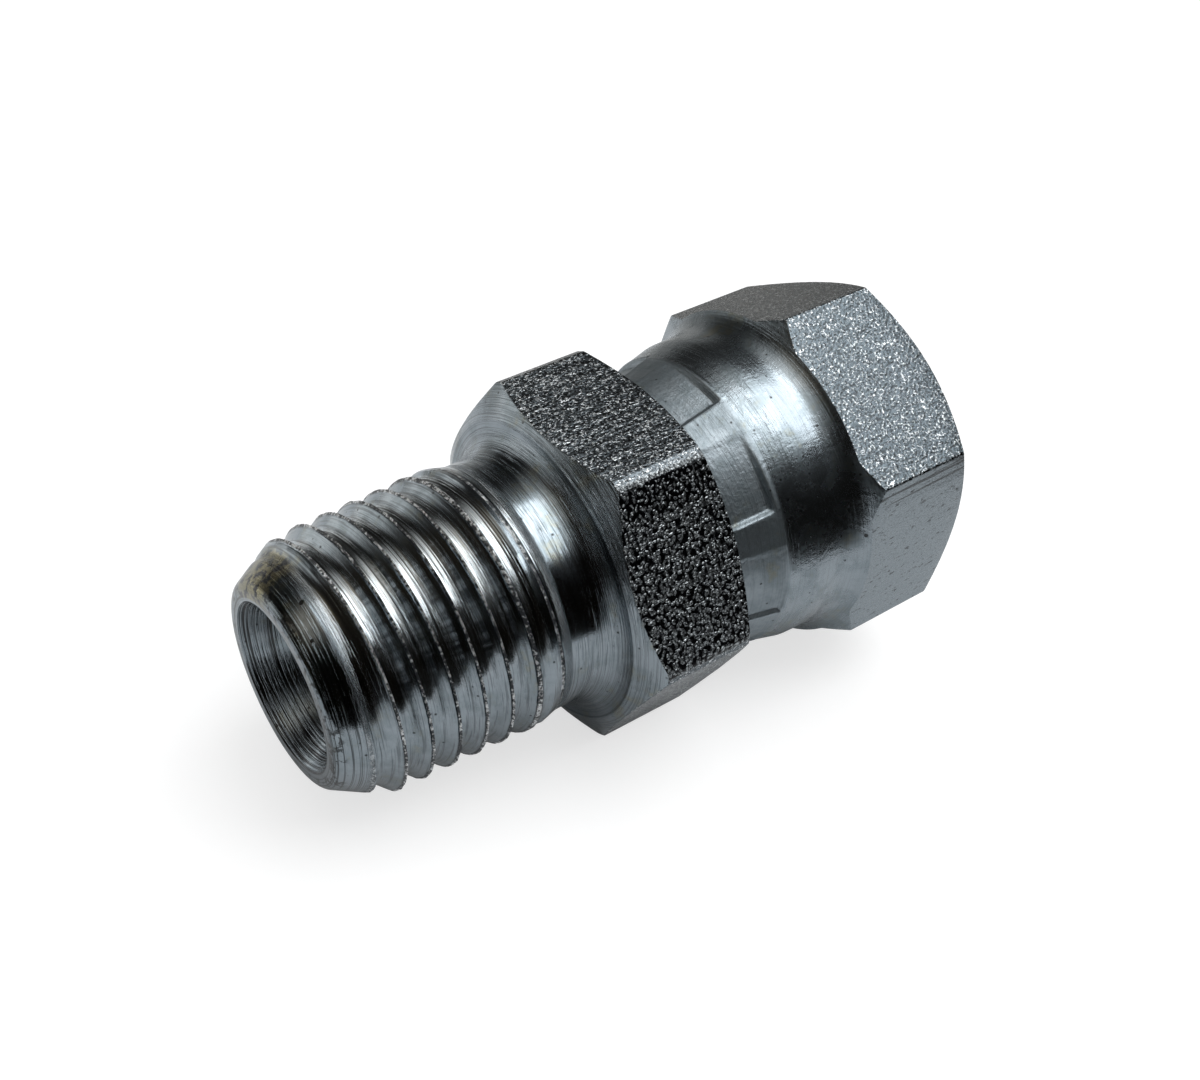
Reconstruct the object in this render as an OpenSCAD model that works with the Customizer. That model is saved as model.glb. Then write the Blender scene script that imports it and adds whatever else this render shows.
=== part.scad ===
// Swivel pipe fitting for hydraulic lines. A turned body with a male taper thread carries a nut with a female thread.
// The nut's collar is crimped over a flange on the body, so that the nut turns freely but can't come off.
// The axis of the fitting is X. The origin is on the axis in the plane of the nose face, and +Z is up.

/* [Flow passage and seats] */
// Radius of the straight flow passage
passage_radius = 3.2; // [2.8:0.05:3.6]
// Radius of the conical seat at the mouth of the nose
seat_mouth_radius = 4.35; // [4.1:0.05:4.6]
// Angle of the seats to the axis
seat_angle = 30; // [27:1:33]

/* [Nose] */
// Outer radius of the nose face, before its corner is rounded
nose_radius = 5.15; // [4.9:0.05:5.4]
// Angle of the nose chamfer to the axis
nose_chamfer_angle = 30; // [26:1:36]
// Radius of the rounded corner between nose face and chamfer
nose_round = 0.6; // [0.2:0.05:0.8]

/* [Male taper thread] */
// Threads in one inch of length
threads_per_inch = 18; // [16:1:20]
// Crest radius, carried forward to the nose face
crest_radius = 6.6; // [6.4:0.05:6.8]
// Depth from crest to root
thread_depth = 1.0; // [0.6:0.05:1.1]
// Width of the flat on each crest
crest_flat = 0.12; // [0.06:0.02:0.2]
// Width of the flat in each root
root_flat = 0.1; // [0.06:0.02:0.2]
// Length along which the diameter grows by one
taper_ratio = 16; // [12:1:24]
// Distance from the nose face to the last ridge
thread_length = 11.2; // [8.5:0.1:11.8]

/* [Neck and shoulder] */
// Radius of the plain neck behind the thread
neck_radius = 6.62; // [6.3:0.02:6.8]
// Distance from the nose face to the shoulder
shoulder_x = 14.3; // [13.8:0.1:14.6]
// Radius of the fillet between neck and shoulder
neck_fillet = 1.4; // [0.8:0.05:1.45]
// Radius of the rounded edge of the shoulder
shoulder_round = 0.22; // [0.1:0.02:0.3]

/* [Wrench hexagons] */
// Width across the flats of the body
body_across_flats = 17.15; // [17.05:0.05:18.05]
// Width across the flats of the nut
nut_across_flats = 17.45; // [17.35:0.05:18.45]
// Width of the bevel along each corner of the body
body_corner_bevel = 0.5; // [0.1:0.05:0.7]
// Width of the bevel along each corner of the nut
nut_corner_bevel = 0.2; // [0.1:0.05:0.5]
// Length of the body hexagon, from the shoulder to its back face
body_hex_length = 6.55; // [6:0.05:8]
// Angle of the front chamfer of the body hexagon to the axis
body_front_angle = 60; // [50:1:65]
// Angle of the back chamfer of the body hexagon to the axis
body_back_angle = 65; // [50:1:70]
// Radius of the back face of the body hexagon
back_face_radius = 8.3; // [8:0.05:8.45]

/* [Spud inside the nut] */
// Radius of the spud's neck
spud_neck_radius = 5.9; // [5.7:0.05:6.1]
// Length of the spud's neck
spud_neck_length = 2.75; // [2.5:0.05:3.5]
// Radius of the flange that holds the nut
flange_radius = 6.95; // [6.8:0.05:7]
// Length of the straight rim of that flange
flange_rim = 1.95; // [1.5:0.05:2.2]
// Radius of the cone nose where it leaves the flange
cone_base_radius = 5.5; // [5.3:0.05:5.7]
// Radius of the tip of the cone nose
cone_tip_radius = 4.3; // [4.15:0.05:4.6]

/* [Swivel nut] */
// Gap between the body hexagon and the collar
collar_gap = 0.45; // [0.3:0.05:0.6]
// Radius of the collar at its free edge
collar_edge_radius = 7.4; // [7.3:0.05:7.5]
// Radius of the collar where it is fullest
collar_radius = 8.5; // [8.4:0.05:8.6]
// Length of the cone that the crimp gives the collar
collar_cone = 4.5; // [4:0.1:4.8]
// Distance from the free edge to the hexagon's front corners
collar_length = 7.85; // [7.7:0.05:8.6]
// Radius of the blend between collar and hexagon
collar_blend = 1.9; // [0.8:0.1:2]
// Length of the hexagon along its corners
nut_hex_length = 5.5; // [5.1:0.1:7]
// Angle of both chamfers of the nut to the axis
nut_chamfer_angle = 54; // [50:1:60]
// Radius of the nut's end face
nut_face_radius = 8.3; // [8:0.05:8.5]
// Radius of the female thread over its crests
female_crest_radius = 5.98; // [5.9:0.02:6.1]
// Radius of the countersink at the mouth of the female thread
mouth_radius = 6.95; // [6.75:0.05:7.15]
// Step from the flange's chamber down to the relief behind the thread
relief_step = 0.3; // [0.2:0.05:0.4]
// Distance from the tip of the cone nose to the start of the thread
relief_gap = 0.3; // [0.2:0.05:0.6]

/* [Crimp] */
// Number of crimping jaws
jaw_count = 8; // [6:1:10]
// Angle that each jaw mark covers
jaw_mark_angle = 31; // [20:1:33]
// Depth of each jaw mark
jaw_mark_depth = 0.22; // [0.1:0.02:0.3]
// Length of each jaw mark from the free edge
jaw_mark_length = 2.75; // [1.5:0.05:3.2]
// Angle from a corner of the nut to the middle of a jaw mark
jaw_mark_turn = 10; // [0:1:45]

/* [Fit] */
// Radial clearance between flange and nut
radial_clearance = 0.08; // [0.04:0.01:0.1]
// Clearance on each side of the flange, along the axis
end_clearance = 0.1; // [0.05:0.01:0.15]
// Radial clearance between the crimped lip and the spud's neck
lip_clearance = 0.2; // [0.1:0.02:0.3]

/* [Pose] */
// Angle that the nut is turned to about the axis
nut_turn = 32.1; // [0:0.1:60]

/* [Hidden] */
$fn = 96;

zinc_plate = [0.55, 0.59, 0.63];

// Thread: every ridge is a ring, with the pitch, flanks and taper of the thread
pitch = 25.4 / threads_per_inch;
taper = 0.5 / taper_ratio;
flank = (pitch - crest_flat - root_flat) / 2;
first_crest = (crest_radius - nose_radius) / (tan(nose_chamfer_angle) - taper);
ridges = floor((thread_length - first_crest) / pitch + 0.01);
run_out = 0.55;
thread_end = first_crest + ridges * pitch;

// Hexagons
body_corner = body_across_flats / sqrt(3);
nut_corner = nut_across_flats / sqrt(3);

// Body, along the axis
body_back_x = shoulder_x + body_hex_length;
front_cone_x = shoulder_x + shoulder_round * (1 - cos(90 - body_front_angle));
front_cone_radius = neck_radius + neck_fillet + 0.02 + shoulder_round * sin(90 - body_front_angle);
hex_top = body_corner + 0.5;
flange_cone_x = body_back_x + spud_neck_length;
flange_x = flange_cone_x + flange_radius - spud_neck_radius;
flange_end = flange_x + flange_rim;
cone_tip_x = flange_end + (cone_base_radius - cone_tip_radius) / tan(seat_angle);

// Nut, along the axis
collar_x = body_back_x + collar_gap;
nut_front_x = collar_x + collar_length;
nut_back_x = nut_front_x + nut_hex_length;
nut_end_x = nut_back_x + (nut_corner - nut_face_radius) / tan(nut_chamfer_angle);
nut_top = nut_corner + 0.5;
chamber_radius = flange_radius + radial_clearance;
chamber_end = flange_end + end_clearance;
lip_radius = spud_neck_radius + lip_clearance;
// The relief lets a tap run out short of the cone nose, and its step still holds the flange
relief_radius = chamber_radius - relief_step;
thread_start_x = cone_tip_x + relief_gap;
relief_end = thread_start_x - (relief_radius - female_crest_radius);
// The lip's inner cone lies parallel to the flange's cone, moved back by the clearance along the axis
lip_cone_x = flange_cone_x - end_clearance + lip_clearance;
chamber_x = lip_cone_x + chamber_radius - lip_radius;
// The blend touches the collar and the front chamfer
blend_turn = nut_chamfer_angle;
blend_corner_x = nut_front_x - (nut_corner - collar_radius) / tan(nut_chamfer_angle);
blend_x = blend_corner_x - collar_blend * tan(blend_turn / 2);

// Radius over the crests at a distance x from the nose face
function crest_at(x) = crest_radius + taper * x;

// Depth of the groove behind ridge i, which runs out towards the neck
function groove(i) = thread_depth * min(1, (ridges - i) * run_out);

// Points of an arc about (cx, cy) from angle a0 to a1
function arc(cx, cy, r, a0, a1, n) =
    [for (i = [0:n]) let (a = a0 + (a1 - a0) * i / n) [cx + r * cos(a), cy + r * sin(a)]];

// A profile of [distance along the axis, radius] points, turned about the X axis
module turned(points) {
    rotate([90, 0, 90]) rotate_extrude() polygon([for (p = points) [p[1], p[0]]]);
}

// A bar along X with a hexagon section whose corners are bevelled; one corner points along +Y
module hexagon_bar(x0, x1, across, bevel) {
    corner = across / sqrt(3);
    cut = bevel / 2 * tan(30);
    reach = corner - cut;
    translate([x0, 0, 0]) rotate([90, 0, 90]) linear_extrude(height = x1 - x0)
        polygon([for (i = [0:5]) for (s = [-1, 1])
            let (a = 60 * i) [reach * cos(a) - s * bevel / 2 * sin(a), reach * sin(a) + s * bevel / 2 * cos(a)]]);
}

// Ridges of the thread; the last one is lower and stands on the neck
function thread_profile() = [
    for (i = [0:ridges])
        let (x = first_crest + i * pitch,
             r = i < ridges ? crest_at(x) : min(crest_at(x), neck_radius + 0.12),
             d = i < ridges ? groove(i) : 0)
        for (p = i < ridges
                ? [[x, r], [x + crest_flat, r], [x + crest_flat + flank, r - d],
                   [x + crest_flat + flank + root_flat, r - d]]
                : [[x, r], [x + crest_flat, r]]) p
];

// Body: nose, thread, neck, fillet, shoulder and chamfered hexagon, with the spud for the nut behind them
module body() {
    color(zinc_plate) difference() {
        intersection() {
            turned(concat(
                [[0, 0]],
                arc(nose_round, nose_radius - nose_round * tan((90 - nose_chamfer_angle) / 2), nose_round,
                    180, 90 + nose_chamfer_angle, 4),
                thread_profile(),
                [[thread_end + crest_flat + 0.15, neck_radius]],
                arc(shoulder_x - neck_fillet, neck_radius + neck_fillet, neck_fillet, -90, 0, 8),
                arc(shoulder_x + shoulder_round, neck_radius + neck_fillet + 0.02, shoulder_round,
                    180, 90 + body_front_angle, 3),
                [[front_cone_x + (hex_top - front_cone_radius) / tan(body_front_angle), hex_top],
                 [body_back_x - (hex_top - back_face_radius) / tan(body_back_angle), hex_top],
                 [body_back_x, back_face_radius],
                 [body_back_x, spud_neck_radius],
                 [flange_cone_x, spud_neck_radius],
                 [flange_x, flange_radius],
                 [flange_end, flange_radius],
                 [flange_end, cone_base_radius],
                 [cone_tip_x, cone_tip_radius],
                 [cone_tip_x, 0]]));
            hexagon_bar(-1, cone_tip_x + 1, body_across_flats, body_corner_bevel);
        }
        flow_passage();
    }
}

// The straight passage with the conical seat in the nose and a small chamfer at the tip of the spud
module flow_passage() {
    tip_chamfer = 0.25;
    turned([
        [-1, 0],
        [-1, seat_mouth_radius + tan(seat_angle)],
        [(seat_mouth_radius - passage_radius) / tan(seat_angle), passage_radius],
        [cone_tip_x - tip_chamfer, passage_radius],
        [cone_tip_x + 1, passage_radius + tip_chamfer + 1],
        [cone_tip_x + 1, 0]]);
}

// Cone that the crimp leaves on the collar: its radius at a distance from the free edge
function collar_cone_at(x) =
    collar_edge_radius + (collar_radius - collar_edge_radius) * x / collar_cone;

// One ring under the skin of the collar, cut into sectors: the marks of the crimping jaws
module jaw_marks() {
    intersection() {
        turned([
            [collar_x - 1, collar_cone_at(-1) - jaw_mark_depth],
            [collar_x - 1, nut_top],
            [collar_x + jaw_mark_length, nut_top],
            [collar_x + jaw_mark_length, collar_cone_at(jaw_mark_length) - jaw_mark_depth]]);
        for (i = [0:jaw_count - 1])
            rotate([i * 360 / jaw_count, 0, 0]) translate([collar_x - 2, 0, 0])
                rotate([90, 0, 90]) linear_extrude(height = jaw_mark_length + 4)
                    polygon([[0, 0], for (s = [-1, 1])
                        [12, s * 12 * tan(jaw_mark_angle / 2)]]);
    }
}

// Outside and inside of the nut, with the collar already crimped over the flange
module swivel_nut() {
    edge = 0.2;
    color(zinc_plate) rotate([nut_turn, 0, 0]) difference() {
        intersection() {
            turned(concat(
                [[collar_x, lip_radius],
                 [collar_x, collar_edge_radius - edge],
                 [collar_x + edge, collar_cone_at(edge)],
                 [collar_x + collar_cone, collar_radius]],
                arc(blend_x, collar_radius + collar_blend, collar_blend, -90, -90 + blend_turn, 6),
                [[nut_front_x + (nut_top - nut_corner) / tan(nut_chamfer_angle), nut_top],
                 [nut_back_x - (nut_top - nut_corner) / tan(nut_chamfer_angle), nut_top],
                 [nut_end_x, nut_face_radius],
                 [nut_end_x, mouth_radius],
                 [nut_end_x - mouth_radius + female_crest_radius, female_crest_radius],
                 [thread_start_x, female_crest_radius],
                 [relief_end, relief_radius],
                 [chamber_end, relief_radius],
                 [chamber_end, chamber_radius],
                 [chamber_x, chamber_radius],
                 [lip_cone_x, lip_radius]]));
            hexagon_bar(collar_x - 1, nut_end_x + 1, nut_across_flats, nut_corner_bevel);
        }
        rotate([jaw_mark_turn, 0, 0]) jaw_marks();
    }
}

body();
swivel_nut();
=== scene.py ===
import math

import bpy
import numpy as np
from mathutils import Matrix, Vector


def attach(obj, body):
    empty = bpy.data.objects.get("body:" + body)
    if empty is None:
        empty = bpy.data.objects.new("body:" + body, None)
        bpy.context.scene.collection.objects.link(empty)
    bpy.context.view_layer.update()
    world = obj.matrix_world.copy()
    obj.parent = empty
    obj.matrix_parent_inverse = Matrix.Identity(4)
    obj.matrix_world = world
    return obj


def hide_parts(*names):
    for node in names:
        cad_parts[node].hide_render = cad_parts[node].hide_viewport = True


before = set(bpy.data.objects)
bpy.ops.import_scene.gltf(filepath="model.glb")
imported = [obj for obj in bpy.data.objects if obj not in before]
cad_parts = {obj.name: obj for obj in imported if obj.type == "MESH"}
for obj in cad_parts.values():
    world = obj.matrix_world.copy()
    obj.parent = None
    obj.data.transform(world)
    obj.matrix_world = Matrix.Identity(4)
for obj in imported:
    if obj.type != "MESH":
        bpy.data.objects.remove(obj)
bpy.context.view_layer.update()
scene = bpy.context.scene

MM = 0.001


def tan(angle):
    """Tangent of an angle in degrees."""
    return math.tan(math.radians(angle))


def cos_sin(angle):
    """Cosine and sine of an angle in degrees."""
    a = math.radians(angle)
    return math.cos(a), math.sin(a)


def add_object(name, data):
    o = bpy.data.objects.new(name, data)
    scene.collection.objects.link(o)
    return o


# Lengths in mm, radii from the axis, angles in degrees. X is the distance from the nose face along the axis.
# Sizes that the CAD source has too are the same there, apart from the male groove and the two corner bevels.
BORE_R = 3.2
SEAT_R = 4.35
SEAT_ANGLE = 30
NOSE_R = 5.15
NOSE_ANGLE = 30
NOSE_ROUND = 0.6

# Male thread
PITCH = 25.4 / 18
TAPER = 0.5 / 16
CREST_R = 6.6               # carried forward to the nose face
GROOVE = 0.86               # shallower than the solid's groove, as it looks in the photograph
STEEP_ANGLE = 20            # of the side behind each crest, from the radius
FOOT = 0.41                 # distance of that side's foot from the middle of the groove
HOLLOW_RISE = 0.68          # half of the slope that the hollow side comes to
HOLLOW_ROUND = 0.3
HOLLOW_SHIFT = 0.03         # it bends most this far from the middle, on the side of the nose
ROOT_TILT = 0.12
EASE, EASE_FROM = 0.3, 0.3  # takes slope off below the next crest
CREST_X, CREST_TURN = 2.3, 49.1     # one crest passes this X at this angle
CREST_SOFT = 0.012
CHAMFER_SOFT = 0.02
FADE_X = 10.2               # the crests fall to the neck from here
FADE = 1.7
LAST_GROOVE_X = 11.5        # the groove has run out here
RUN_OUT = 2.3
BURR = 0.018
BURR_WIDTH = 0.1
BURR_FROM_X = 1.5
HELIX_START, HELIX_END = 0.5, 12.6

# Neck and hexagon of the body
NECK_R = 6.62
NECK_FILLET = 1.4
SHOULDER_X = 14.3
SHOULDER_R = NECK_R + NECK_FILLET + 0.02
SHOULDER_ROUND = 0.22
BODY_FRONT_ANGLE = 60
BODY_FLATS = 17.15
BODY_BEVEL = 0.6            # a little wider than the solid's
BODY_BACK_X = 20.85
BODY_BACK_R = 8.3
BODY_BACK_ANGLE = 65

# Spud, with the flange that holds the nut
SPUD_R = 5.9
FLANGE_FOOT_X = 23.6
FLANGE_R = 6.95
FLANGE_X = FLANGE_FOOT_X + FLANGE_R - SPUD_R
FLANGE_BACK_X = 26.6
CONE_R = 5.5
CONE_TIP_R = 4.3
TIP_X = 28.678
BORE_CHAMFER = 0.25

# Hexagon of the nut
NUT_TURN = 32.1
NUT_FLATS = 17.45
NUT_BEVEL = 0.08            # sharper than the solid's
NUT_FRONT_X = 29.15
NUT_BACK_X = 34.65
NUT_FACE_R = 8.3
NUT_ANGLE = 54
NUT_CORNER = NUT_FLATS / math.sqrt(3)
NUT_END_X = NUT_BACK_X + (NUT_CORNER - NUT_FACE_R) / tan(NUT_ANGLE)

# Collar, and the chamber with its clearances to the flange
COLLAR_X = 21.3
COLLAR_EDGE_R = 7.4
COLLAR_R = 8.5
COLLAR_CONE = 4.5
COLLAR_BLEND = 1.9
RADIAL_GAP = 0.08
END_GAP = 0.1
LIP_GAP = 0.2
LIP_R = SPUD_R + LIP_GAP
LIP_X = FLANGE_FOOT_X + LIP_GAP - END_GAP
CHAMBER_R = FLANGE_R + RADIAL_GAP
CHAMBER_X = LIP_X + CHAMBER_R - LIP_R
CHAMBER_BACK_X = FLANGE_BACK_X + END_GAP

# Marks of the crimping jaws. Each has its own end and depth.
JAWS = 8
JAW_HALF = 15.5
JAW_TURN = 10
JAW_MIDDLE = 22.5
JAW_END = 24.05
JAW_END_SHIFTS = np.array([0.0, -0.12, -0.3, 0.05, -0.1, 0.04, -0.2, 0.0])
JAW_DEPTH = 0.22
JAW_DEPTHS = JAW_DEPTH * np.array([0.9, 0.8, 0.85, 0.7, 0.9, 0.8, 0.9, 0.75])
JAW_WALL = 1.9              # angle over which a side falls
JAW_STEP = 0.24             # length over which the end falls
JAW_WOBBLE = 0.45
JAW_SPLAY = 0.3             # degrees that the sides draw in per mm along the axis
JAW_RIDGE = 0.035           # metal pushed up at the end
JAW_HEAVE = 0.018           # metal pushed up at the sides

# Female thread
FEMALE_R = 5.98
FEMALE_DEPTH = 0.72
FEMALE_ANGLE = 30           # of both sides, from the radius
FEMALE_FLAT = 0.03
FEMALE_ROUND = 0.08
FEMALE_START = 0.4
MOUTH_R = 6.95
MOUTH_X = NUT_END_X - (MOUTH_R - FEMALE_R)
MOUTH_RIM = 0.12
THREAD_START_X = 28.978
RELIEF_R = 6.73

# Middle of the male groove at the angle 0
MALE_START = CREST_X - PITCH / 2 - PITCH * CREST_TURN / 360

# Rows of points across one pitch, from the middle of a groove
MALE_ROWS = [-0.69, -0.67, -0.62, -0.53, -0.44, -0.405, -0.37, -0.3, -0.23, -0.17, -0.11, -0.05,
             0.02, 0.1, 0.2, 0.33, 0.47, 0.58, 0.62, 0.65, 0.68, 0.7055]
FEMALE_ROWS = [-0.66, -0.6, -0.45, -0.25, -0.06, 0.06, 0.25, 0.45, 0.6, 0.66]

TURNED, GRAIN = 0, 1        # material slots of both pieces


def wave(seed, a, count=5, top=40):
    """A smooth closed wobble of about -1 to 1 over the angles a, in degrees."""
    rng = np.random.default_rng(seed)
    f = rng.integers(2, top, count)
    p = rng.uniform(0, 2 * np.pi, count)
    return sum(np.sin(np.radians(a) * k + q) for k, q in zip(f, p)) / math.sqrt(count)


def both_sides(steps):
    """The steps, their mirror images and 0."""
    return [0.0] + [side * step for step in steps for side in (-1, 1)]


def spread(marks, gap):
    """Column angles: every marked angle, filled up so that no step is wider than gap."""
    least = 0.12
    a = np.unique(np.round(np.mod(marks, 360), 3))
    a = a[np.concatenate([[True], np.diff(a) > least])]
    out = []
    for lo, hi in zip(a, np.append(a[1:], a[0] + 360)):
        n = max(1, math.ceil((hi - lo) / gap))
        out += list(lo + (hi - lo) * np.arange(n) / n)
    return np.array(out)


def smooth(t):
    """A smooth step from 0 to 1 while t goes from 0 to 1."""
    t = np.clip(t, 0, 1)
    return t * t * (3 - 2 * t)


def bell(t):
    return np.exp(-t ** 2)


def soft_min(a, b, k):
    """The smaller of a and b, rounded over k where they meet."""
    h = np.clip(0.5 + 0.5 * (b - a) / k, 0, 1)
    return b + (a - b) * h - k * h * (1 - h)


def hexagon(a, flats, bevel, soft):
    """Radius of a hexagon with corners at 0 + 60k degrees; corners are bevelled and slightly rounded."""
    b = np.mod(a, 60)
    flat = flats / 2 / np.cos(np.radians(b - 30))
    reach = flats / math.sqrt(3) - bevel / 2 * tan(30)
    cut = reach / np.cos(np.radians(np.minimum(b, 60 - b)))
    return soft_min(flat, cut, soft)


def line(start, end, shares):
    """Points of (x, r) on the line from start to end, at shares of its length."""
    (xa, ra), (xb, rb) = start, end
    return [(xa + (xb - xa) * t, ra + (rb - ra) * t) for t in shares]


def arc(cx, cy, r, a0, a1, n):
    """Points of (x, r) on an arc of n steps, from the angle a0 to a1."""
    t = np.radians(np.linspace(a0, a1, n + 1))
    return list(zip(cx + r * np.cos(t), cy + r * np.sin(t)))


class Skin:
    """A closed skin of rings about the X axis. Each ring has one point for every column angle."""

    SNAP = 0.01             # points of a helix this near to an end ring join it
    LEAST_TURN = 12         # corners that turn less than this stay as they are
    SHARP = 28              # edges that turn more than this look sharp

    def __init__(self, angles):
        self.a = angles
        self.n = len(angles)
        self.co, self.faces, self.mats = [], [], []

    def ring(self, x, r):
        x = np.broadcast_to(np.asarray(x, float), self.n)
        r = np.broadcast_to(np.asarray(r, float), self.n)
        t = np.radians(self.a)
        start = len(self.co)
        self.co += list(np.stack([x, r * np.cos(t), r * np.sin(t)], 1))
        return list(range(start, start + self.n))

    def face(self, ids, mat):
        """A face without its repeated points, unless fewer than three are left."""
        out = [i for k, i in enumerate(ids) if i != ids[k - 1]]
        if len(set(out)) > 2:
            self.faces.append(out)
            self.mats.append(mat)

    def band(self, first, second, mat):
        for j in range(self.n):
            k = (j + 1) % self.n
            self.face([first[j], second[j], second[k], first[k]], mat)

    def path(self, points, mat, first=None, soft=0.0):
        """Rings through points of (x, r), given as numbers or as values per column. Soft rounds corners."""
        pts = [np.stack([np.broadcast_to(np.asarray(v, float), self.n) for v in p]) for p in points]
        rings = [pts[0]]
        for before, here, after in zip(pts, pts[1:], pts[2:]):
            u, v = before - here, after - here
            lu, lv = np.linalg.norm(u, axis=0), np.linalg.norm(v, axis=0)
            e = np.minimum(soft, np.minimum(lu, lv) * 0.4)
            turn = np.degrees(np.arccos(np.clip(-(u * v).sum(0) / (lu * lv + 1e-9), -1, 1))).max()
            if soft and turn > self.LEAST_TURN:
                p, q = here + u / lu * e, here + v / lv * e
                rings += [p, (p + q + 2 * here) / 4, q]
            else:
                rings.append(here)
        rings.append(pts[-1])
        made = [first if first and k == 0 else self.ring(*p) for k, p in enumerate(rings)]
        for a, b in zip(made, made[1:]):
            self.band(a, b, mat)
        return made

    def helix(self, first, last, xa, xb, start, rows, radius, mat, inside=False):
        """Rows that follow the helix between two rings, so that every crest and root lies on a row."""
        known = {}
        m = len(rows)
        base = start + PITCH * self.a / 360

        def point(i, j):
            if j == self.n:
                i, j = i + m, 0
            turn, row = divmod(i, m)
            x = base[j] + PITCH * turn + rows[row]
            if x <= xa + self.SNAP:
                return first[j]
            if x >= xb - self.SNAP:
                return last[j]
            if (i, j) not in known:
                r = float(radius(x, self.a[j]))
                c, k = cos_sin(self.a[j])
                known[i, j] = len(self.co)
                self.co.append(np.array([x, r * c, r * k]))
            return known[i, j]

        lo = int((xa - start) / PITCH - 3) * m
        hi = int((xb - start) / PITCH + 3) * m
        for i in range(lo, hi):
            for j in range(self.n):
                ids = [point(i, j), point(i + 1, j), point(i + 1, j + 1), point(i, j + 1)]
                self.face(ids[::-1] if inside else ids, mat)

    def build(self, name, mats):
        mesh = bpy.data.meshes.new(name)
        mesh.from_pydata([tuple(c * MM) for c in self.co], [], [f[::-1] for f in self.faces])
        for m in mats:
            mesh.materials.append(m)
        mesh.polygons.foreach_set("material_index", self.mats)
        mesh.polygons.foreach_set("use_smooth", [True] * len(self.faces))
        mesh.set_sharp_from_angle(angle=math.radians(self.SHARP))
        mesh.validate()
        mesh.update()
        return add_object(name, mesh)


# Threads
def nearest(x, a, start):
    """Middle of the thread groove that is nearest to x at the angle a."""
    c0 = start + PITCH * a / 360
    return c0 + PITCH * round((x - c0) / PITCH)


def male_cut(u):
    """Height of the groove over its root: a steep side behind each crest, and a hollow one up to the next."""
    v = u + HOLLOW_SHIFT
    rise = HOLLOW_RISE * (v + math.hypot(v, HOLLOW_ROUND))
    hollow = rise - ROOT_TILT * (u + FOOT) - EASE * max(0.0, u - EASE_FROM) ** 2
    return max(hollow, (-u - FOOT) / tan(STEEP_ANGLE))


def male_root(c):
    """Radius of the root of the groove whose middle is at c. Past the run-out it lies outside the neck."""
    left = min(1.0, max(0.0, (LAST_GROOVE_X - c) / RUN_OUT))
    outside = 0.3 if left <= 0 else 0.0
    return CREST_R + TAPER * c - GROOVE * left + outside


def male_radius(x, a):
    """Outside of the male thread: nose chamfer, taper over the crests, the groove and its run-out."""
    crest = CREST_R + TAPER * x
    env = soft_min(NOSE_R + tan(NOSE_ANGLE) * x, crest, CHAMFER_SOFT)
    if x > FADE_X:
        env = crest + (NECK_R - crest) * smooth((x - FADE_X) / FADE)
    c = nearest(x, a, MALE_START)
    cut = male_root(c) + male_cut(x - c)
    r = soft_min(env, cut, CREST_SOFT)
    near = abs(cut - env)
    if near < BURR_WIDTH and BURR_FROM_X < x < LAST_GROOVE_X + 0.1:
        ragged = wave(11, np.array([a + x * 137.0]), count=7, top=170)[0]
        r += BURR * (1 - near / BURR_WIDTH) * (ragged + 0.3)
    return r


def female_radius(x, a):
    """Wall of the female thread, with the countersink at the mouth and the relief behind it."""
    env = FEMALE_R
    if x > MOUTH_X:
        env = FEMALE_R + x - MOUTH_X
    if x < THREAD_START_X:
        env = min(RELIEF_R, FEMALE_R + THREAD_START_X - x)
    side = max(0.0, abs(x - nearest(x, a, FEMALE_START)) - FEMALE_FLAT) / tan(FEMALE_ANGLE)
    return max(env, FEMALE_R + FEMALE_DEPTH - math.hypot(side, FEMALE_ROUND) + FEMALE_ROUND)


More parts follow.
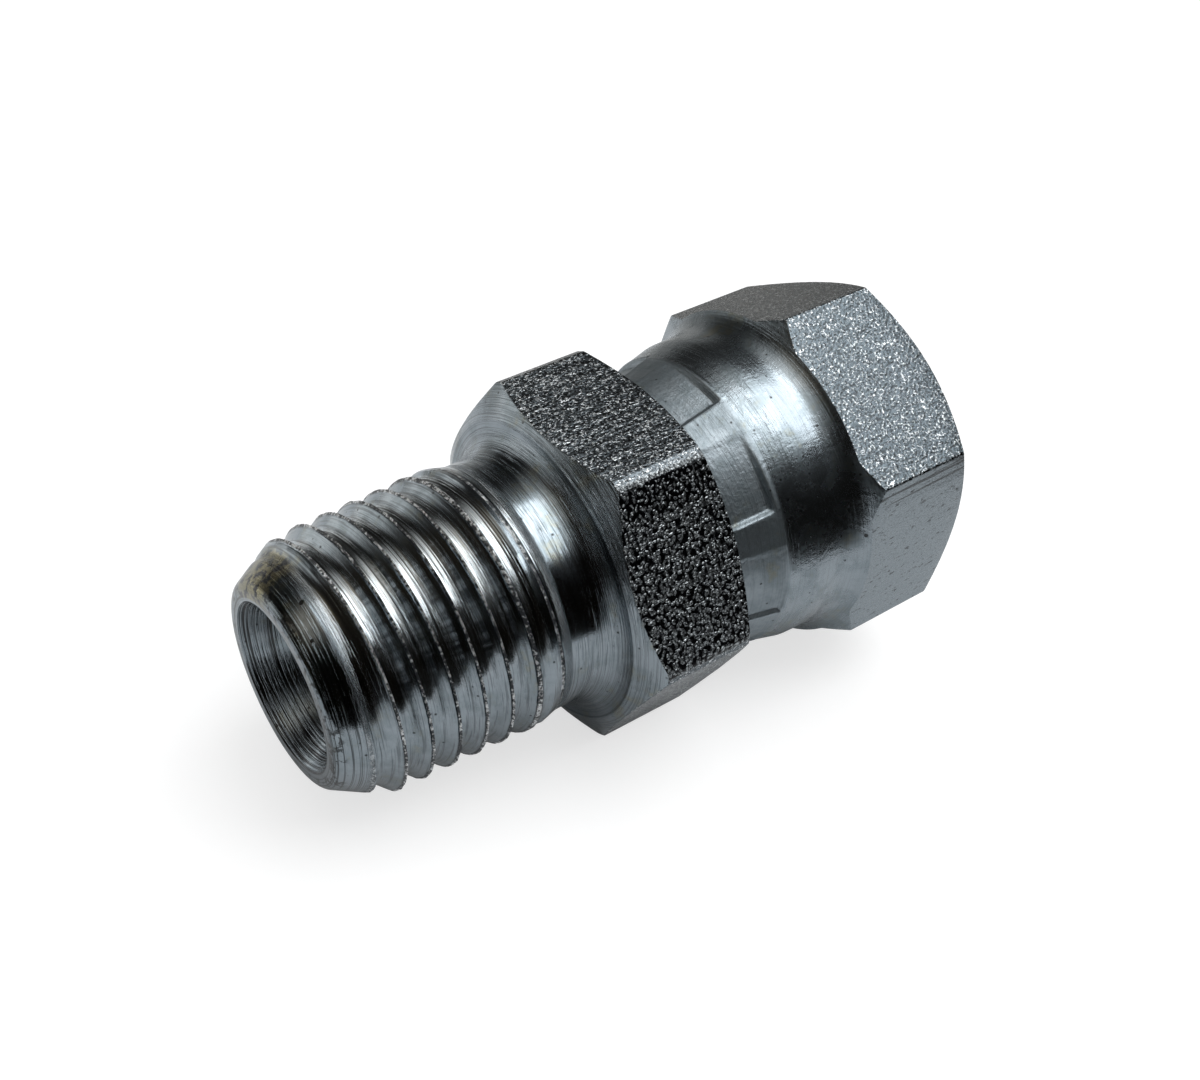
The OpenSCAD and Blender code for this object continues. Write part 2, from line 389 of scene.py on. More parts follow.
def make_body(mats):
    corner = both_sides((0.7, 1.15, 1.47, 1.75, 2.1, 2.6))
    s = Skin(spread([60 * k + d for k in range(6) for d in corner], 2.0))
    rho = hexagon(s.a, BODY_FLATS, BODY_BEVEL, soft=0.05) + 0.006 * wave(3, s.a, count=6, top=90)

    # Seat, nose and chamfer
    seat_x = (SEAT_R - BORE_R) / tan(SEAT_ANGLE)
    seat = line((seat_x, BORE_R), (0, SEAT_R), (0, 0.3, 0.6, 0.85, 1))
    rim_r = NOSE_R - NOSE_ROUND * tan((90 - NOSE_ANGLE) / 2)
    rim = arc(NOSE_ROUND, rim_r, NOSE_ROUND, 180, 90 + NOSE_ANGLE, 8)
    nose = s.path(seat + rim + [(HELIX_START, NOSE_R + tan(NOSE_ANGLE) * HELIX_START)], TURNED, soft=0.05)

    # Neck, fillet and shoulder
    turned = [(HELIX_END, NECK_R)]
    turned += arc(SHOULDER_X - NECK_FILLET, NECK_R + NECK_FILLET, NECK_FILLET, -90, 0, 14)
    turned += arc(SHOULDER_X + SHOULDER_ROUND, SHOULDER_R, SHOULDER_ROUND, 180, 90 + BODY_FRONT_ANGLE, 3)
    neck = s.path(turned, TURNED)
    s.helix(nose[-1], neck[0], HELIX_START, HELIX_END, MALE_START, MALE_ROWS, male_radius, TURNED)

    # Front chamfer and flats of the hexagon
    cone_x, cone_r = turned[-1]
    front = cone_x + (rho - cone_r) / tan(BODY_FRONT_ANGLE)
    rear = BODY_BACK_X - (rho - BODY_BACK_R) / tan(BODY_BACK_ANGLE)
    edge = 0.05
    front_edge = (front - edge * 0.5, rho - edge * 0.86)
    rear_edge = (rear + edge * 0.42, rho - edge * 0.9)
    cone = line((cone_x, cone_r), (front, rho), (0, 0.25, 0.5, 0.75))
    chamfer = s.path(cone + [front_edge], TURNED, first=neck[-1])
    flat = [front_edge, (front + edge * 0.15, rho - edge * 0.2), (front + edge, rho)]
    flat += line((front, rho), (rear, rho), (0.1, 0.3, 0.5, 0.7, 0.9))
    flat += [(rear - edge, rho), (rear + edge * 0.15, rho - edge * 0.2), rear_edge]
    flats = s.path(flat, GRAIN, first=chamfer[-1])

    # Back face, spud, flange, cone nose and passage
    back = [rear_edge, (BODY_BACK_X, BODY_BACK_R), (BODY_BACK_X, SPUD_R), (FLANGE_FOOT_X, SPUD_R),
            (FLANGE_X, FLANGE_R), (FLANGE_BACK_X, FLANGE_R), (FLANGE_BACK_X, CONE_R), (TIP_X, CONE_TIP_R),
            (TIP_X, BORE_R + BORE_CHAMFER), (TIP_X - BORE_CHAMFER, BORE_R)]
    back += [(x, BORE_R) for x in (24.0, 18.0, 12.0, 8.0, 4.0)]
    inner = s.path(back, TURNED, first=flats[-1], soft=0.06)
    s.band(inner[-1], nose[0], TURNED)
    return s.build("turned_body", mats)


def collar_shape(a):
    """A function for the collar's radius at x, with the jaw marks pressed in, at the column angles a."""
    step = 360 / JAWS
    turned = a - NUT_TURN - JAW_TURN + step / 2
    past = np.mod(turned, step) - step / 2
    off = np.abs(past)
    mark = np.floor(np.mod(turned, 360) / step).astype(int)
    end_of = JAW_END + JAW_END_SHIFTS[mark]
    heave = bell((off - JAW_HALF - 1.3) / 0.9)

    def radius(x, back=0.0):
        r = COLLAR_EDGE_R + (COLLAR_R - COLLAR_EDGE_R) * min((x - COLLAR_X) / COLLAR_CONE, 1.0)
        side = off + JAW_WOBBLE * wave(21, a * 0.02 + x * 40, count=5, top=9) + JAW_SPLAY * (x - JAW_MIDDLE)
        press = smooth((JAW_HALF + 0.6 - side) / JAW_WALL) + 0.5 * np.clip(1 - (off / JAW_HALF) ** 2, 0, 1)
        press = press * (0.75 + 0.65 * past / JAW_HALF)
        along = smooth((end_of + 0.1 - x) / JAW_STEP)
        ridge = np.minimum(press, 1) * bell((x - end_of - 0.18) / 0.12)
        return r - JAW_DEPTHS[mark] * press * along + JAW_HEAVE * heave * along + JAW_RIDGE * ridge - back

    return radius


def make_nut(mats):
    corner = both_sides((0.3, 0.57, 0.8, 1.2, 1.9))
    jaw_edge = (-1.9, -1.45, -1.1, -0.8, -0.5, -0.2, 0.1, 0.45, 0.9, 1.4, 1.9, 2.5)
    marks = [NUT_TURN + 60 * k + d for k in range(6) for d in corner]
    marks += [NUT_TURN + JAW_TURN + 360 / JAWS * k + side * (JAW_HALF + d)
              for k in range(JAWS) for side in (-1, 1) for d in jaw_edge]
    s = Skin(spread(marks, 2.0))
    rho = hexagon(s.a - NUT_TURN, NUT_FLATS, NUT_BEVEL, soft=0.03) + 0.004 * wave(5, s.a, count=6, top=90)

    # Collar, and its blend into the front chamfer
    collar = collar_shape(s.a)
    corner_x = NUT_FRONT_X - (NUT_CORNER - COLLAR_R) / tan(NUT_ANGLE)
    blend_x = corner_x - COLLAR_BLEND * tan(NUT_ANGLE / 2)
    blend = arc(blend_x, COLLAR_R + COLLAR_BLEND, COLLAR_BLEND, -90, -90 + NUT_ANGLE, 10)
    xs = [COLLAR_X + 0.2, 21.8, 22.3, 22.9, 23.3] + [23.5 + 0.055 * k for k in range(17)]
    xs += [24.55, 24.8, 25.2, 25.7, 26.3]
    outer = [(COLLAR_X, LIP_R), (COLLAR_X, collar(COLLAR_X, 0.2))]
    outer += [(COLLAR_X + 0.06, collar(COLLAR_X + 0.06, 0.06))]
    outer += [(x, collar(x)) for x in xs] + blend
    shell = s.path(outer, TURNED)

    # Front chamfer, flats, back chamfer and face
    ex, er = blend[-1]
    front = ex + (rho - er) / tan(NUT_ANGLE)
    rear = NUT_END_X - (rho - NUT_FACE_R) / tan(NUT_ANGLE)
    edge = 0.04
    front_edge = (front - edge * 0.59, rho - edge * 0.81)
    rear_edge = (rear + edge * 0.59, rho - edge * 0.81)
    cone = line(blend[-1], (front, rho), (0, 0.3, 0.6))
    chamfer = s.path(cone + [front_edge], TURNED, first=shell[-1])
    flat = [front_edge, (front + edge * 0.1, rho - edge * 0.15), (front + edge, rho)]
    flat += line((front, rho), (rear, rho), (0.15, 0.4, 0.6, 0.85))
    flat += [(rear - edge, rho), (rear - edge * 0.1, rho - edge * 0.15), rear_edge]
    flats = s.path(flat, GRAIN, first=chamfer[-1])
    rim_x = NUT_END_X - MOUTH_RIM
    face = [rear_edge, (NUT_END_X, NUT_FACE_R), (NUT_END_X, MOUTH_R), (rim_x, MOUTH_R - MOUTH_RIM)]
    mouth = s.path(face, TURNED, first=flats[-1], soft=0.06)

    # Female thread, relief, chamber and lip
    relief_x = THREAD_START_X - (RELIEF_R - FEMALE_R) - 0.1
    inner = s.path([(relief_x, RELIEF_R), (CHAMBER_BACK_X, RELIEF_R), (CHAMBER_BACK_X, CHAMBER_R),
                    (CHAMBER_X, CHAMBER_R), (LIP_X, LIP_R)], TURNED)
    s.helix(inner[0], mouth[-1], relief_x, rim_x, FEMALE_START, FEMALE_ROWS, female_radius, TURNED,
            inside=True)
    s.band(inner[-1], shell[0], TURNED)
    return s.build("crimped_nut", mats)


# Materials
class Graph:
    """Short calls for the nodes that the materials use."""

    def __init__(self, tree):
        tree.nodes.clear()
        self.t = tree

    def link(self, value, sock):
        """Plug another node's output into the socket, or set the socket to a plain value."""
        if isinstance(value, bpy.types.NodeSocket):
            self.t.links.new(value, sock)
        else:
            sock.default_value = value

    def new(self, kind, **values):
        n = self.t.nodes.new(kind)
        for k, v in values.items():
            if k in n.inputs.keys():
                self.link(v, n.inputs[k])
            else:
                setattr(n, k, v)
        return n

    def math(self, op, a, b=0.0):
        n = self.t.nodes.new("ShaderNodeMath")
        n.operation = op
        self.link(a, n.inputs[0])
        self.link(b, n.inputs[1])
        return n.outputs[0]

    def noise(self, vector, scale, detail=2.0, rough=0.5, flat=False):
        n = self.new("ShaderNodeTexNoise", noise_dimensions="2D" if flat else "3D")
        for k, v in (("Vector", vector), ("Scale", scale), ("Detail", detail), ("Roughness", rough)):
            self.link(v, n.inputs[k])
        return n

    def fac(self, *args, **values):
        return self.noise(*args, **values).outputs["Fac"]

    def cells(self, vector, scale, flat=False):
        n = self.new("ShaderNodeTexVoronoi", feature="F1", voronoi_dimensions="2D" if flat else "3D")
        self.link(vector, n.inputs["Vector"])
        self.link(scale, n.inputs["Scale"])
        return n.outputs["Distance"]

    def vector(self, x, y=0.0, z=0.0):
        return self.new("ShaderNodeCombineXYZ", X=x, Y=y, Z=z).outputs[0]

    def vector_math(self, op, *values):
        n = self.new("ShaderNodeVectorMath", operation=op)
        for sock, v in zip(n.inputs, values):
            self.link(v, sock)
        return n

    def distance(self, vector, point):
        return self.vector_math("DISTANCE", vector, point).outputs["Value"]

    def times(self, *values):
        out = values[0]
        for v in values[1:]:
            out = self.math("MULTIPLY", out, v)
        return out

    def plus(self, *values):
        out = values[0]
        for v in values[1:]:
            out = self.math("ADD", out, v)
        return out

    def ramp(self, value, lo, hi, out_lo=0.0, out_hi=1.0):
        n = self.new("ShaderNodeMapRange")
        n.interpolation_type = "SMOOTHSTEP"
        ends = (("From Min", lo), ("From Max", hi), ("To Min", out_lo), ("To Max", out_hi))
        for k, v in (("Value", value), *ends):
            self.link(v, n.inputs[k])
        return n.outputs[0]

    def mix(self, fac, a, b):
        n = self.t.nodes.new("ShaderNodeMix")
        n.data_type = "RGBA"
        for sock, v in ((n.inputs[0], fac), (n.inputs[6], a), (n.inputs[7], b)):
            self.link((*v, 1) if isinstance(v, tuple) else v, sock)
        return n.outputs[2]

    def bump(self, height):
        """Normal for a height in mm."""
        n = self.t.nodes.new("ShaderNodeBump")
        self.link(height, n.inputs["Height"])
        self.link(MM, n.inputs["Distance"])
        return n.outputs[0]

    def mapping(self, vector, scale, place=(0, 0, 0)):
        n = self.new("ShaderNodeMapping")
        for k, v in (("Vector", vector), ("Scale", scale), ("Location", place)):
            self.link(v, n.inputs[k])
        return n.outputs[0]

    def add(self, first, second):
        """Both shaders together."""
        n = self.new("ShaderNodeAddShader")
        self.link(first.outputs[0], n.inputs[0])
        self.link(second.outputs[0], n.inputs[1])
        return n

    def surface(self, shader):
        out = self.new("ShaderNodeOutputMaterial")
        self.link(shader.outputs[0], out.inputs[0])


def new_material(name):
    m = bpy.data.materials.new(name)
    m.use_nodes = True
    return m, Graph(m.node_tree)


def finish_metal(g, colour, rough, height):
    q = g.new("ShaderNodeBsdfPrincipled", Roughness=rough, Normal=g.bump(height), Metallic=1.0)
    g.link(colour, q.inputs["Base Color"])
    g.surface(q)


BLUE = (0.29, 0.33, 0.36)
DEEP = (0.225, 0.265, 0.29)
OLIVE = (0.26, 0.245, 0.17)
BROWN = (0.22, 0.2, 0.12)
ROOT_HIGHLIGHT = (0.72, 0.77, 0.8)
BURR_GLINT = (0.85, 0.87, 0.88)
SPARKLE = (0.92, 0.95, 0.97)
KNOB_GLINT = (0.52, 0.56, 0.58)
SMOOTH = (0.24, 0.275, 0.3)
DULL = (0.07, 0.075, 0.08)
PAINTED_SHADE = (0.06, 0.065, 0.07)
DARK = (0.03, 0.03, 0.03)
GAP_SHADE = (0.004, 0.004, 0.005)


def in_mm(g):
    """Object coordinates in mm, and the distance from the axis."""
    co = g.new("ShaderNodeTexCoord").outputs["Object"]
    mm = g.mapping(co, (1000, 1000, 1000))
    x, y, z = g.new("ShaderNodeSeparateXYZ", Vector=mm).outputs
    r = g.math("SQRT", g.plus(g.times(y, y), g.times(z, z)))
    return mm, (x, y, z), r


def turning_line(g, s, y, z):
    """Coordinates that hardly change along a turning line; s tells one line from the next."""
    return g.vector(s, g.times(g.plus(y, g.times(z, 0.7)), 0.02))


def thread_phase(g, x, y, z):
    """Place across one pitch of the male thread, 0 at a crest and 0.5 in a root, and mm from the crest."""
    turns = g.math("DIVIDE", g.math("ARCTAN2", z, y), 2 * math.pi)
    u = g.math("SUBTRACT", g.math("DIVIDE", g.math("SUBTRACT", x, MALE_START), PITCH), turns)
    p = g.math("FRACT", g.plus(u, 0.5))
    d = g.times(g.math("SUBTRACT", 0.5, g.math("ABSOLUTE", g.math("SUBTRACT", p, 0.5))), PITCH)
    return p, d


def turned_metal(g, mm, line, seed, spots, streaks, gloss):
    """Fine rings, soft blotches, dark turning streaks that are painted shade of the fine scores, and small
    dark pits, with the height of the rings' scores.

    Spots are the placed pits, each with its point and size.
    """
    rings = g.fac(line, 6.0, 3.0, 0.65, flat=True)
    cloud = g.fac(g.mapping(mm, (1, 1, 1), (seed, 3, 1)), 0.6, 4.0, 0.65)
    tone = g.mix(g.ramp(cloud, 0.4, 0.62), BLUE, DEEP)
    tone = g.mix(g.ramp(cloud, 0.56, 0.75, 0.0, 0.6), tone, OLIVE)
    # Dark streaks along the rings: painted shade of the fine turning scores
    tone = g.mix(g.ramp(rings, 0.36, 0.47, streaks, 0.0), tone, PAINTED_SHADE)
    pits = g.ramp(g.cells(mm, 1.2), 0.05, 0.11, 0.85, 0.0)
    for spot, size in spots:
        wide = g.plus(g.distance(mm, spot), g.times(g.plus(cloud, -0.5), size * 3))
        pits = g.math("MAXIMUM", pits, g.ramp(wide, size * 0.7, size, 0.9, 0.0))
    colour = g.mix(pits, tone, DARK)
    rough = g.ramp(cloud, 0.35, 0.65, gloss, gloss + 0.07)
    scores = g.plus(g.times(rings, 0.011), g.times(g.ramp(rings, 0.57, 0.62), 0.004))
    return rings, cloud, colour, rough, scores


BODY_SPOTS = [((3.0, -3.67, 5.6), 0.16), ((3.96, -6.49, 1.76), 0.17), ((0.4, 3.2, 4.3), 0.2),
              ((1.1, -1.0, 5.7), 0.12), ((0.7, -2.6, 4.9), 0.1), ((6.1, -6.6, 1.5), 0.12)]
NUT_SPOTS = [((28.12, -8.37, 2.21), 0.13), ((28.4, -8.8, 2.06), 0.14)]
STAIN_AT = (0.9, 2.6, 5.1)


def body_metal(name):
    """Turned metal with scored grooves and seat, ragged crests with painted glints, a painted highlight in
    the upper roots, dark lines painted into the highlights, and a stain on the nose chamfer.
    """
    m, g = new_material(name)
    mm, (x, y, z), r = in_mm(g)
    p, d = thread_phase(g, x, y, z)
    place = g.times(p, PITCH)

    # Masks of the places that differ
    seat = g.times(g.ramp(r, SEAT_R + 0.1, SEAT_R), g.ramp(x, 3.0, 2.0))
    thread = g.times(g.ramp(x, 1.2, 1.8), g.ramp(x, 11.9, 11.4), g.ramp(r, 5.2, 5.4))
    # The root mask is cut to the upper side by z, where the lamp falls; it carries a painted highlight and
    # stronger scores
    root = g.times(g.ramp(place, 0.12, 0.26), g.ramp(place, 0.95, 0.7), g.ramp(z, 1.0, 4.0), thread)
    cone = g.times(g.ramp(x, 2.1, 1.7), g.ramp(r, 4.4, 4.6))
    neck = g.times(g.ramp(x, 11.2, 11.8), g.ramp(x, 15.5, 14.0))

    s = g.plus(x, g.times(r, 1.618), g.times(seat, x, 1.5))
    groove_line = g.vector(g.times(p, PITCH * 1.7), g.plus(g.times(x, 0.15), g.times(z, 0.05)))
    line = g.mix(thread, turning_line(g, s, y, z), groove_line)
    rings, cloud, colour, rough, scores = turned_metal(
        g, mm, line, seed=1, spots=BODY_SPOTS, streaks=0.5, gloss=0.13)
    scores = g.times(scores, g.plus(g.times(seat, 2.5), g.times(root, 2.0), g.times(neck, 1.2),
                                    g.times(cone, -0.4), g.times(thread, -0.65), 1.0))

    # Painted highlight in the roots on the upper side, and burrs along the crests: soiled in patches,
    # elsewhere painted glints alternating with dark bits
    ragged = g.fac(mm, 6.0, 3.0, 0.7)
    patch = g.fac(mm, 1.3, 2.0)
    burr = g.times(g.ramp(g.plus(d, g.times(cloud, 0.12)), 0.12, 0.2, 1.0, 0.0), thread)
    soil = g.times(g.ramp(d, 0.05, 0.2, 0.8, 0.0), thread, g.ramp(patch, 0.45, 0.6))
    # Painted glints along the crest burrs, alternating with dark bits
    shine = g.mix(g.ramp(g.plus(ragged, g.times(patch, -0.5)), 0.22, 0.36), DULL, BURR_GLINT)
    # Painted highlight: the upper roots are whitened
    colour = g.mix(g.times(root, 0.7), colour, ROOT_HIGHLIGHT)
    colour = g.mix(burr, g.mix(soil, colour, DARK), shine)

    # Dark turning lines, painted into the highlights of the seat, the nose chamfer and the upper roots
    lined = g.math("MAXIMUM", g.math("MAXIMUM", seat, g.times(cone, 0.7)), root)
    colour = g.mix(g.times(g.ramp(rings, 0.4, 0.48, 0.85, 0.0), lined), colour, DARK)

    # Stain and specks on the nose
    blot = g.fac(mm, 2.2, 3.0, 0.65)
    stain = g.times(g.ramp(g.distance(mm, STAIN_AT), 1.4, 2.8, 0.9, 0.0), cone)
    colour = g.mix(stain, colour, g.mix(g.ramp(blot, 0.46, 0.58), BROWN, DARK))
    rim = g.times(g.ramp(x, 0.6, 0.3), g.ramp(r, 4.5, 4.7), g.ramp(blot, 0.52, 0.58), 0.8)
    colour = g.mix(rim, colour, DARK)

    rough = g.plus(rough, g.times(burr, 0.16), g.times(stain, 0.1))
    height = g.plus(scores, g.times(g.fac(mm, 12.0, 1.0), 0.002), g.times(burr, ragged, 0.1))
    finish_metal(g, colour, rough, height)
    return m


def nut_metal(name):
    """Turned metal with soft wrinkles, matt where the jaws pressed it and smoother beyond the collar."""
    m, g = new_material(name)
    mm, (x, y, z), r = in_mm(g)
    line = turning_line(g, g.plus(x, g.times(r, 1.618)), y, z)
    rings, cloud, colour, rough, scores = turned_metal(
        g, mm, line, seed=6, spots=NUT_SPOTS, streaks=0.15, gloss=0.23)
    matt = g.ramp(x, JAW_END + 0.2, JAW_END - 0.1)
    rough = g.plus(rough, g.times(matt, 0.2))
    wrinkles = g.times(g.fac(mm, 3.6, 3.0, 0.6), g.plus(g.times(matt, 0.012), 0.015))
    height = g.plus(scores, g.times(g.fac(mm, 12.0, 1.0), 0.006))
    height = g.plus(g.times(height, g.ramp(x, 25.0, 26.5, 1.0, 0.5)), wrinkles)
    finish_metal(g, colour, rough, height)
    return m


def facing(g, y, z, r, angle):
    """1 on the flat of a hexagon whose middle is at the angle, 0 on the others."""
    c, k = cos_sin(angle)
    cosine = g.math("DIVIDE", g.plus(g.times(y, c), g.times(z, k)), r)
    return g.ramp(cosine, 0.862, 0.872)


def across_flat(g, y, z, angle):
    """Distance across the flat whose middle is at the angle, from that middle."""
    c, k = cos_sin(angle)
    return g.plus(g.times(z, c), g.times(y, -k))


def bar_skin(g, mm, seed, rough, base, row_pull):
    """The bar's own skin: painted glints along its ridges and painted shade in its low pits, drawn into rows
    along the bar by row_pull.
    """
    deep = 0.045
    grit = g.fac(g.mapping(mm, (0.85, 1.0, 1.0), (seed, 0, 0)), 8.0, 2.0, 0.6)
    rows = g.fac(g.mapping(mm, (0.06, 1.0, 1.0), (seed, 0, 0)), 3.0, 2.0, 0.65)
    height = g.times(grit, g.ramp(rows, 0.38, 0.62, 1.0 - row_pull, 1.0 + row_pull), deep)
    spark = g.fac(g.mapping(mm, (0.8, 1.0, 1.0), (0, seed, 0)), 4.6, 1.0)
    worm = g.ramp(g.math("ABSOLUTE", g.plus(spark, -0.5)), 0.014, 0.055, 1.0, 0.0)
    ridge = g.plus(grit, g.times(rows, row_pull))
    worm = g.times(worm, g.ramp(ridge, 0.47 + row_pull / 2, 0.57 + row_pull / 2))
    # Painted glints on the ridges of the grit
    tone = g.mix(worm, base, SPARKLE)
    # Painted shade in the low pits of the grit
    tone = g.mix(g.ramp(grit, 0.38, 0.47, 0.7, 0.0), tone, DARK)
    height = g.plus(height, g.times(worm, deep * 0.15))
    roughness = g.ramp(grit, 0.3, 0.7, rough - 0.08, rough + 0.06)
    return height, tone, roughness


PEBBLE_AT = 150             # middle of the body's pebbled flat
SMOOTH_AT = 182.1           # middle of the nut's smooth flat


def body_bar(name):
    """Bar skin with one pebbled flat: islands with painted highlights on their knobs and painted shade in the
    gaps, sparse near one edge and dressed in places.
    """
    m, g = new_material(name)
    mm, (x, y, z), r = in_mm(g)
    base = (0.13, 0.15, 0.165)
    height, tone, roughness = bar_skin(g, mm, seed=3, rough=0.26, base=base, row_pull=0.25)
    mask = facing(g, y, z, r, PEBBLE_AT)
    across = across_flat(g, y, z, PEBBLE_AT)
    plane = g.vector(x, across)
    warp = g.noise(plane, 2.4, flat=True).outputs["Color"]
    bent = g.vector_math("MULTIPLY_ADD", warp, (0.4, 0.4, 0.0), plane).outputs[0]
    island = g.cells(bent, 4.6, flat=True)
    knobs = g.fac(plane, 9.0, 2.0, 0.6, flat=True)
    dressed = g.ramp(g.fac(g.vector(g.times(x, 0.03), across), 1.1, 3.0, 0.7, flat=True), 0.55, 0.62)
    sparse = g.ramp(across, -4.8, -2.2, -0.14, 0.0)
    size = g.plus(island, g.times(g.plus(knobs, -0.5), 0.7), g.times(dressed, -0.14), g.times(sparse, -1.0))
    height = g.mix(mask, height, g.plus(g.ramp(size, 0.1, 0.5, 0.03, 0.0), g.times(knobs, 0.04)))
    # Knob tops carry a painted highlight, the low places between them painted shade
    tone = g.mix(mask, tone, g.mix(g.ramp(knobs, 0.42, 0.62), PAINTED_SHADE, KNOB_GLINT))
    gap = g.times(g.ramp(size, 0.4, 0.56), mask, g.ramp(dressed, 0.0, 1.0, 1.0, 0.7))
    # Painted shade in the gaps between the islands, lighter where dressed
    tone = g.mix(gap, tone, GAP_SHADE)
    finish_metal(g, tone, g.plus(roughness, g.times(mask, 0.1)), height)
    return m


def nut_bar(name):
    """Bar skin with one nearly smooth flat, which has dark dashes, and drawn lines near its upper edge."""
    m, g = new_material(name)
    mm, (x, y, z), r = in_mm(g)
    seed = 8
    base = (0.125, 0.15, 0.168)
    height, tone, roughness = bar_skin(g, mm, seed=seed, rough=0.28, base=base, row_pull=0.0)
    mask = facing(g, y, z, r, SMOOTH_AT)
    across = across_flat(g, y, z, SMOOTH_AT)
    height = g.times(height, g.ramp(mask, 0.0, 1.0, 1.0, 0.25))
    tone = g.mix(mask, tone, SMOOTH)
    dash = g.ramp(g.fac(g.mapping(mm, (0.4, 1.0, 1.0), (seed, 2, 0)), 5.5, 2.0, 0.6), 0.60, 0.70)
    drawn = g.ramp(g.fac(g.vector(g.times(x, 0.04), across), 3.2, 2.0, 0.7, flat=True), 0.56, 0.6)
    drawn = g.times(drawn, g.ramp(across, -3.2, -4.0))
    tone = g.mix(g.times(g.math("MAXIMUM", dash, drawn), mask, 0.75), tone, DARK)
    finish_metal(g, tone, roughness, height)
    return m


body = make_body([body_metal("zinc_turned_body"), body_bar("zinc_bar_body")])
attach(body, "body")
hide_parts("body")
nut = make_nut([nut_metal("zinc_turned_nut"), nut_bar("zinc_bar_nut")])
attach(nut, "nut")
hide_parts("swivel_nut")


# Floor: the part stands on the front edge of the body's lower flat and on one corner of the nut
EDGE_X, EDGE_Z = 14.575, -8.575
CORNER_X, CORNER_Z = 29.15, -10.01
FLOOR_HALF = 2.5            # in metres
PAPER = (0.67, 0.675, 0.68)


def floor_material():
    """White paper. The camera sees it as white as the background, with the shadow left on it."""
    m, g = new_material("floor_white")
    co = g.new("ShaderNodeTexCoord").outputs["Object"]
    tone = g.mix(g.fac(co, 30.0, 2.0), PAPER, tuple(c * 0.985 for c in PAPER))
    paper = g.new("ShaderNodeBsdfPrincipled", Roughness=0.8)
    g.link(tone, paper.inputs["Base Color"])
    far = g.vector_math("LENGTH", co).outputs["Value"]
    glow = g.new("ShaderNodeEmission", Strength=g.ramp(far, 0.2, 1.2, 0.66, 1.0))
    half = g.new("ShaderNodeBsdfDiffuse", Color=(0.4, 0.4, 0.4, 1))
    seen = g.add(half, glow)
    both = g.new("ShaderNodeMixShader")
    g.link(g.new("ShaderNodeLightPath").outputs["Is Camera Ray"], both.inputs[0])
    g.link(paper.outputs[0], both.inputs[1])
    g.link(seen.outputs[0], both.inputs[2])
    g.surface(both)
    return m


def floor_z(x):
    """Height of the floor at x, both in metres."""
    slope = (EDGE_Z - CORNER_Z) / (CORNER_X - EDGE_X)
    return (EDGE_Z - (x / MM - EDGE_X) * slope) * MM


def make_floor():
    mesh = bpy.data.meshes.new("floor")
    corners = [(-1, -1), (1, -1), (1, 1), (-1, 1)]
    co = [(FLOOR_HALF * i, FLOOR_HALF * j, floor_z(FLOOR_HALF * i)) for i, j in corners]
    mesh.from_pydata(co, [], [(0, 1, 2, 3)])
    mesh.materials.append(floor_material())
    add_object("floor", mesh)


# Camera at the photograph's viewing angle. Its place is in mm.
FOCAL_PIXELS = 1534.9
PICTURE_PIXELS = 1200
CAMERA_AT = (-18.290, -46.636, 52.819)
RIGHT = (0.80782, -0.58805, 0.04009)
UP = (0.36690, 0.55491, 0.74663)
AHEAD = (0.46131, 0.58843, -0.66403)


def make_camera():
    data = bpy.data.cameras.new("camera")
    data.sensor_fit = "HORIZONTAL"
    data.sensor_width = 36.0
    data.lens = data.sensor_width * FOCAL_PIXELS / PICTURE_PIXELS
    data.clip_start, data.clip_end = 0.001, 10
    cam = add_object("camera", data)
    turn = Matrix((Vector(RIGHT), Vector(UP), -Vector(AHEAD))).transposed()
    cam.matrix_world = Matrix.Translation(Vector(CAMERA_AT) * MM) @ turn.to_4x4()
    scene.camera = cam


# Light: one large soft lamp over the fitting, in a dim room that only the metal mirrors
CENTRE = Vector((0.018, 0, 0))
ROOM = 2.0                  # radius of the room in metres


def towards(azimuth, elevation):
    """Direction from the fitting, with the azimuth from +X to +Y."""
    ahead, aside = cos_sin(azimuth)
    level, rise = cos_sin(elevation)
    return Vector((level * ahead, level * aside, rise))


def lamp(name, azimuth, elevation, distance, size, radiance, colour):
    """A rectangular lamp that faces the fitting, with its size and distance in metres."""
    d = bpy.data.lights.new(name, "AREA")
    d.shape = "RECTANGLE"
    d.size, d.size_y = size
    d.energy = radiance * math.pi * size[0] * size[1]
    d.color = colour
    o = add_object(name, d)
    v = towards(azimuth, elevation)
    o.location = CENTRE + v * distance
    o.rotation_mode = "QUATERNION"
    o.rotation_quaternion = v.to_track_quat("Z", "Y")
    o.visible_camera = False


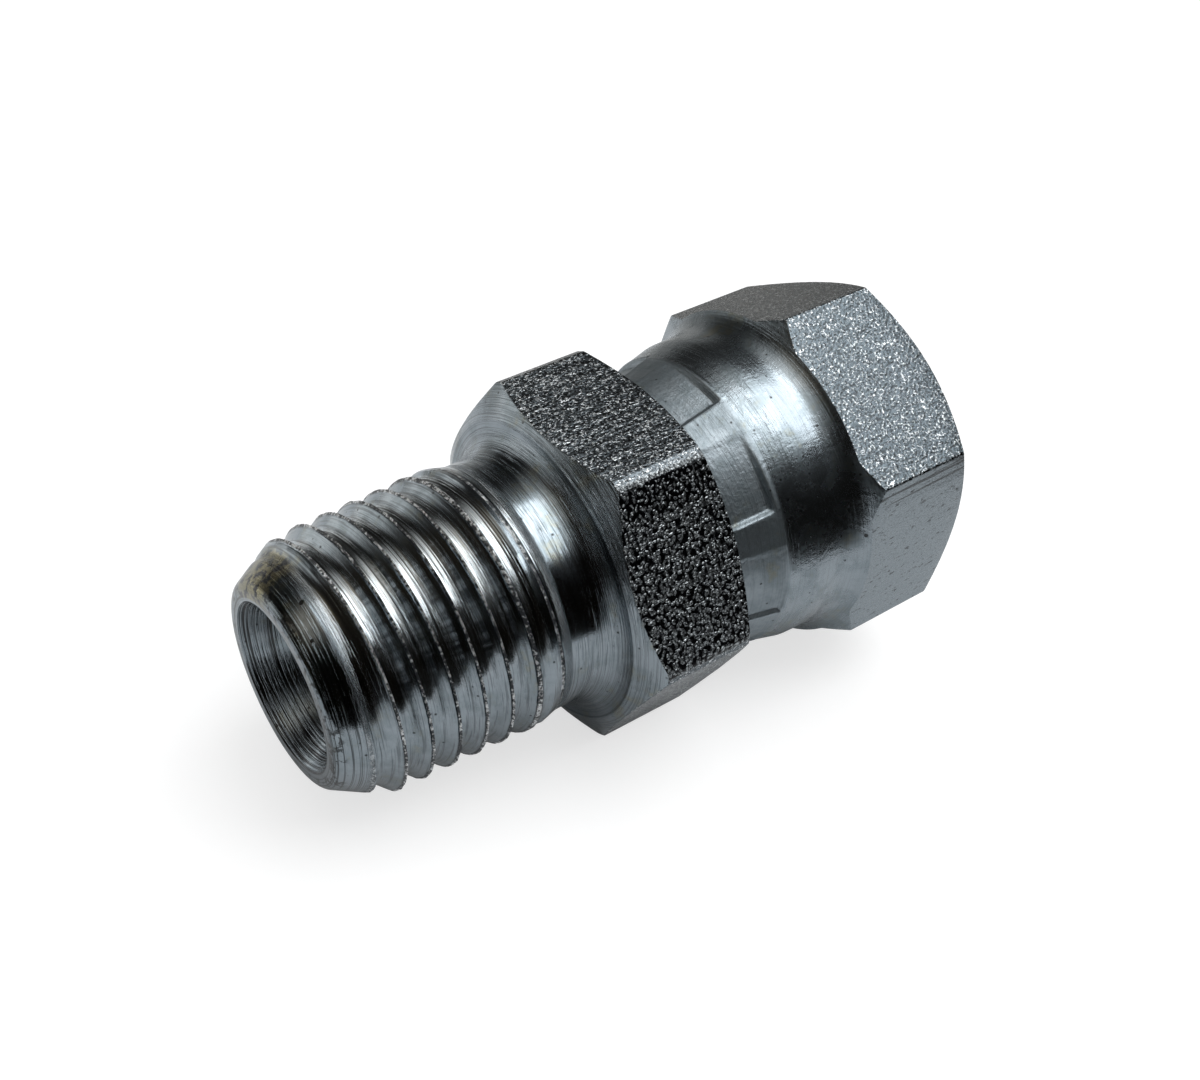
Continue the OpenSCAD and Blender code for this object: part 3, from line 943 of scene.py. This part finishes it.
def room_material():
    """Nearly black in front, brown on the left, pale behind, bright overhead and low at the far left."""
    m, g = new_material("studio_room")
    co = g.new("ShaderNodeTexCoord").outputs["Object"]
    unit = g.vector_math("NORMALIZE", co).outputs[0]
    x, y, z = g.new("ShaderNodeSeparateXYZ", Vector=unit).outputs
    ceiling = g.plus(g.ramp(z, 0.7, 0.98, 0.0, 0.95), g.ramp(z, 0.92, 0.98, 0.0, 0.85))
    aim = towards(168, 0)
    ahead = g.plus(g.times(x, aim.x), g.times(y, aim.y))
    aside = g.math("ARCTAN2", g.plus(g.times(x, -aim.y), g.times(y, aim.x)), ahead)
    left = g.times(g.ramp(g.math("ABSOLUTE", aside), 0.1, 0.65, 1.0, 0.0), g.ramp(z, 0.5, 0.78, 0.025, 0.28))
    back = g.times(g.ramp(y, 0.2, 0.85), g.ramp(z, 0.3, -0.1, 0.02, 0.5))
    corner = g.times(g.ramp(x, -0.3, -0.5), g.ramp(y, 0.4, 0.6), g.ramp(z, 0.38, 0.2))
    brown = g.new("ShaderNodeEmission", Color=(1.0, 0.81, 0.58, 1), Strength=g.plus(left, 0.004))
    pale = g.new("ShaderNodeEmission", Color=(1.0, 0.985, 0.95, 1), Strength=g.plus(ceiling, back, corner))
    g.surface(g.add(brown, pale))
    return m


def make_room():
    """A dome, and a low ring of wall that hides the floor beyond 50 mm from the metal. Both in metres."""
    count = 48
    fence = [(0.05, -0.02, 0.015), (0.05, 0.008, 0.015)]
    heights = np.radians([-1, 10, 20, 30, 40, 50, 60, 70, 80, 89.5])
    rings = fence + [(ROOM * math.cos(e), ROOM * math.sin(e), 0.0) for e in heights]
    co, faces = [], []
    for r, z, shift in rings:
        around = np.linspace(0, 2 * np.pi, count, endpoint=False)
        co += [(r * math.cos(t), r * math.sin(t) + shift, z) for t in around]
    for k in range(len(rings) - 1):
        if k == len(fence) - 1:
            continue
        for j in range(count):
            n = (j + 1) % count
            faces.append((k * count + j, k * count + n, (k + 1) * count + n, (k + 1) * count + j))
    mesh = bpy.data.meshes.new("studio_room")
    mesh.from_pydata(co, [], faces)
    mesh.materials.append(room_material())
    o = add_object("studio_room", mesh)
    o.location = CENTRE
    o.visible_camera = False
    o.visible_diffuse = False
    o.visible_shadow = False


def make_world():
    """White for the camera and for mirrored rays, and a weaker fill for the floor."""
    world = bpy.data.worlds.new("studio")
    scene.world = world
    world.use_nodes = True
    g = Graph(world.node_tree)
    ray = g.new("ShaderNodeLightPath").outputs
    seen = g.math("MAXIMUM", ray["Is Camera Ray"],
                  g.math("MAXIMUM", ray["Is Glossy Ray"], ray["Is Transmission Ray"]))
    sky = g.new("ShaderNodeBackground", Color=(1, 1, 1, 1), Strength=g.ramp(seen, 0.0, 1.0, 0.6, 1.0))
    out = g.new("ShaderNodeOutputWorld")
    g.link(sky.outputs[0], out.inputs[0])


make_floor()
make_camera()
lamp("softbox", azimuth=-17, elevation=62, distance=1.8, size=(1.75, 1.6), radiance=3.1,
     colour=(0.97, 0.99, 1.0))
make_room()
make_world()

scene.view_settings.view_transform = "Standard"
